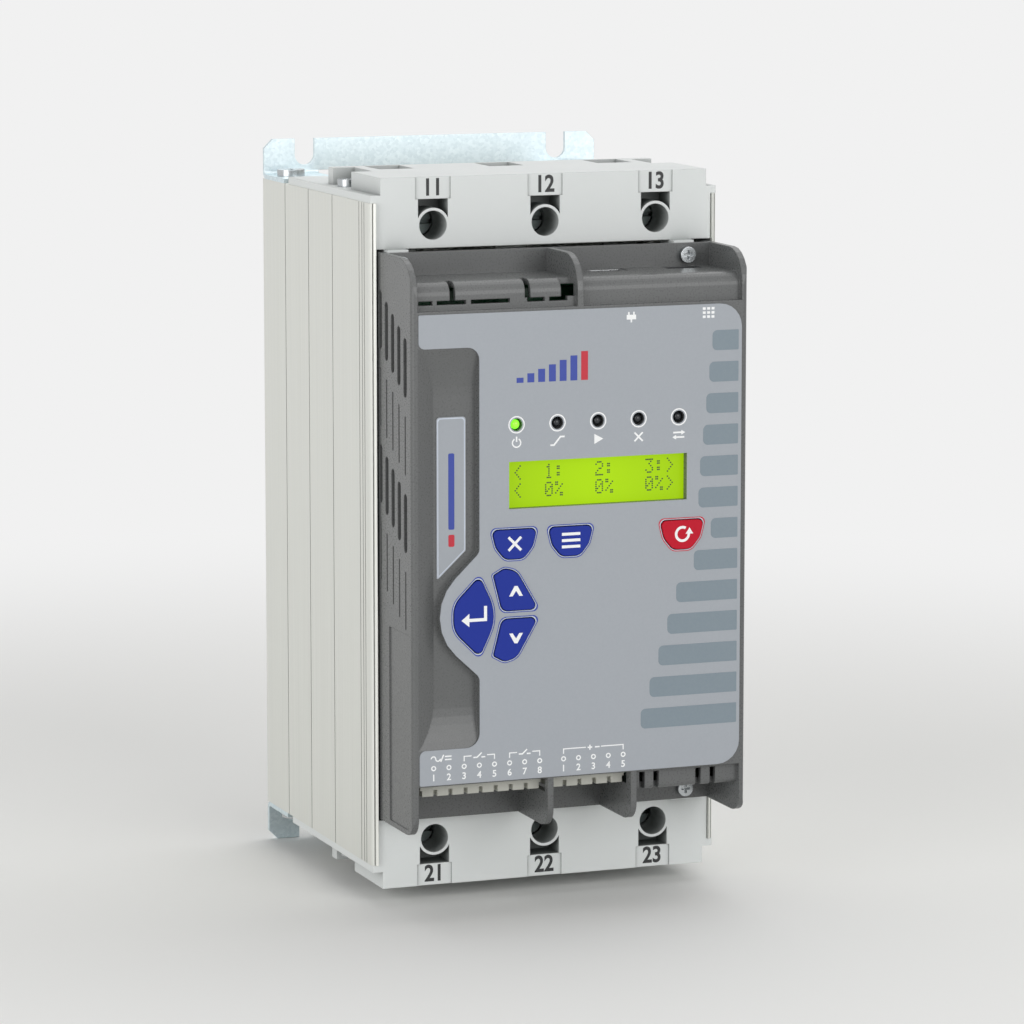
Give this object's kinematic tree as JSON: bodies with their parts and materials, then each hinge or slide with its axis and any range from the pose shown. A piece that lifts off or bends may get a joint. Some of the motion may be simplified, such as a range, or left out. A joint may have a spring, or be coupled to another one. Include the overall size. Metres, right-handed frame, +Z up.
{
  "type": "three-phase soft starter",
  "caption": "Wall-mounted motor soft starter with an extruded heat sink, terminal housings at both ends with rising-cage clamps, and a dark front cover with display and keypad.",
  "frame": {"origin": "middle of the mounting plane at the back, on the vertical centre plane", "axes": "+X to the right seen from the front, +Y to the wall, +Z up"},
  "size_m": [0.1184, 0.1409, 0.2382],
  "materials": {
    "extruded_aluminium": "satin extrusion",
    "galvanised_sheet": "galvanised",
    "zinc_screw": "zinc plated",
    "blackened_screw": "blackened steel",
    "housing_plastic": "light grey, fine texture",
    "cover_plastic": "dark grey, fine texture",
    "printed_film": "printed polyester film",
    "blue_key": "satin",
    "red_key": "satin",
    "tinned_copper": "tin-plated copper",
    "module_resin": "moulded resin",
    "circuit_board": "coated laminate",
    "terminal_plastic": "light grey moulding",
    "display_panel": "backlit panel",
    "light_resin": "clear resin",
    "port_shell": "plated shell",
    "socket_plastic": "black moulding"
  },
  "bodies": {
    "starter": {"heat_sink": "extruded_aluminium", "upper_bracket": "galvanised_sheet", "lower_bracket": "galvanised_sheet", "bracket_screws": "zinc_screw", "line_terminal_housing": "housing_plastic", "load_terminal_housing": "housing_plastic", "housing_screws": "zinc_screw", "module_screws": "zinc_screw", "busbar_screws": "zinc_screw", "power_board": "circuit_board", "board_spacers": "zinc_screw", "control_board": "circuit_board", "front_cover": "cover_plastic", "cover_screws": "zinc_screw", "keypad_film": "printed_film", "side_label": "printed_film", "display_module": "module_resin", "display_glass": "display_panel", "display_board": "circuit_board", "indicator_lights": "light_resin", "key_switches": "module_resin", "relay_terminal_block": "terminal_plastic", "input_terminal_block": "terminal_plastic", "terminal_block_screws": "zinc_screw", "data_port": "port_shell", "keypad_socket": "socket_plastic", "thyristor_module_1": "module_resin", "current_transformer_1": "module_resin", "bypass_relay_1": "module_resin", "line_busbar_1": "tinned_copper", "load_busbar_1": "tinned_copper", "thyristor_module_2": "module_resin", "current_transformer_2": "module_resin", "bypass_relay_2": "module_resin", "line_busbar_2": "tinned_copper", "load_busbar_2": "tinned_copper", "thyristor_module_3": "module_resin", "current_transformer_3": "module_resin", "bypass_relay_3": "module_resin", "line_busbar_3": "tinned_copper", "load_busbar_3": "tinned_copper"},
    "back_key": {"back_key": "blue_key"},
    "menu_key": {"menu_key": "blue_key"},
    "reset_key": {"reset_key": "red_key"},
    "enter_key": {"enter_key": "blue_key"},
    "up_key": {"up_key": "blue_key"},
    "down_key": {"down_key": "blue_key"},
    "line_clamp_screw_1": {"line_clamp_screw_1": "blackened_screw"},
    "line_clamp_cage_1": {"line_clamp_cage_1": "zinc_screw"},
    "line_clamp_screw_2": {"line_clamp_screw_2": "blackened_screw"},
    "line_clamp_cage_2": {"line_clamp_cage_2": "zinc_screw"},
    "line_clamp_screw_3": {"line_clamp_screw_3": "blackened_screw"},
    "line_clamp_cage_3": {"line_clamp_cage_3": "zinc_screw"},
    "load_clamp_screw_1": {"load_clamp_screw_1": "blackened_screw"},
    "load_clamp_cage_1": {"load_clamp_cage_1": "zinc_screw"},
    "load_clamp_screw_2": {"load_clamp_screw_2": "blackened_screw"},
    "load_clamp_cage_2": {"load_clamp_cage_2": "zinc_screw"},
    "load_clamp_screw_3": {"load_clamp_screw_3": "blackened_screw"},
    "load_clamp_cage_3": {"load_clamp_cage_3": "zinc_screw"}
  },
  "joints": [
    {"name": "back_key_press", "type": "slide", "parent": "starter", "child": "back_key", "axis": [0, 1, 0], "range_m": [0, 0.0005], "stiffness_N_per_m": 2000},
    {"name": "menu_key_press", "type": "slide", "parent": "starter", "child": "menu_key", "axis": [0, 1, 0], "range_m": [0, 0.0005], "stiffness_N_per_m": 2000},
    {"name": "reset_key_press", "type": "slide", "parent": "starter", "child": "reset_key", "axis": [0, 1, 0], "range_m": [0, 0.0005], "stiffness_N_per_m": 2000},
    {"name": "enter_key_press", "type": "slide", "parent": "starter", "child": "enter_key", "axis": [0, 1, 0], "range_m": [0, 0.0005], "stiffness_N_per_m": 2000},
    {"name": "up_key_press", "type": "slide", "parent": "starter", "child": "up_key", "axis": [0, 1, 0], "range_m": [0, 0.0005], "stiffness_N_per_m": 2000},
    {"name": "down_key_press", "type": "slide", "parent": "starter", "child": "down_key", "axis": [0, 1, 0], "range_m": [0, 0.0005], "stiffness_N_per_m": 2000},
    {"name": "line_clamp_screw_1_turn", "type": "hinge", "parent": "starter", "child": "line_clamp_screw_1", "pos_m": [-0.03785, -0.09, 0.09855], "axis": [0, 1, 0], "range_deg": [0, 2880]},
    {"name": "line_clamp_cage_1_rise", "type": "slide", "parent": "starter", "child": "line_clamp_cage_1", "axis": [0, -1, 0], "range_m": [0, 0.008]},
    {"name": "line_clamp_screw_2_turn", "type": "hinge", "parent": "starter", "child": "line_clamp_screw_2", "pos_m": [0, -0.09, 0.09855], "axis": [0, 1, 0], "range_deg": [0, 2880]},
    {"name": "line_clamp_cage_2_rise", "type": "slide", "parent": "starter", "child": "line_clamp_cage_2", "axis": [0, -1, 0], "range_m": [0, 0.008]},
    {"name": "line_clamp_screw_3_turn", "type": "hinge", "parent": "starter", "child": "line_clamp_screw_3", "pos_m": [0.03785, -0.09, 0.09855], "axis": [0, 1, 0], "range_deg": [0, 2880]},
    {"name": "line_clamp_cage_3_rise", "type": "slide", "parent": "starter", "child": "line_clamp_cage_3", "axis": [0, -1, 0], "range_m": [0, 0.008]},
    {"name": "load_clamp_screw_1_turn", "type": "hinge", "parent": "starter", "child": "load_clamp_screw_1", "pos_m": [-0.03785, -0.09, -0.09855], "axis": [0, 1, 0], "range_deg": [0, 2880]},
    {"name": "load_clamp_cage_1_rise", "type": "slide", "parent": "starter", "child": "load_clamp_cage_1", "axis": [0, -1, 0], "range_m": [0, 0.008]},
    {"name": "load_clamp_screw_2_turn", "type": "hinge", "parent": "starter", "child": "load_clamp_screw_2", "pos_m": [0, -0.09, -0.09855], "axis": [0, 1, 0], "range_deg": [0, 2880]},
    {"name": "load_clamp_cage_2_rise", "type": "slide", "parent": "starter", "child": "load_clamp_cage_2", "axis": [0, -1, 0], "range_m": [0, 0.008]},
    {"name": "load_clamp_screw_3_turn", "type": "hinge", "parent": "starter", "child": "load_clamp_screw_3", "pos_m": [0.03785, -0.09, -0.09855], "axis": [0, 1, 0], "range_deg": [0, 2880]},
    {"name": "load_clamp_cage_3_rise", "type": "slide", "parent": "starter", "child": "load_clamp_cage_3", "axis": [0, -1, 0], "range_m": [0, 0.008]}
  ],
  "couplings": [
    {"joint": "line_clamp_screw_1_turn", "follows": "line_clamp_cage_1_rise", "rad_per_m": 6283.2},
    {"joint": "line_clamp_screw_2_turn", "follows": "line_clamp_cage_2_rise", "rad_per_m": 6283.2},
    {"joint": "line_clamp_screw_3_turn", "follows": "line_clamp_cage_3_rise", "rad_per_m": 6283.2},
    {"joint": "load_clamp_screw_1_turn", "follows": "load_clamp_cage_1_rise", "rad_per_m": 6283.2},
    {"joint": "load_clamp_screw_2_turn", "follows": "load_clamp_cage_2_rise", "rad_per_m": 6283.2},
    {"joint": "load_clamp_screw_3_turn", "follows": "load_clamp_cage_3_rise", "rad_per_m": 6283.2}
  ]
}
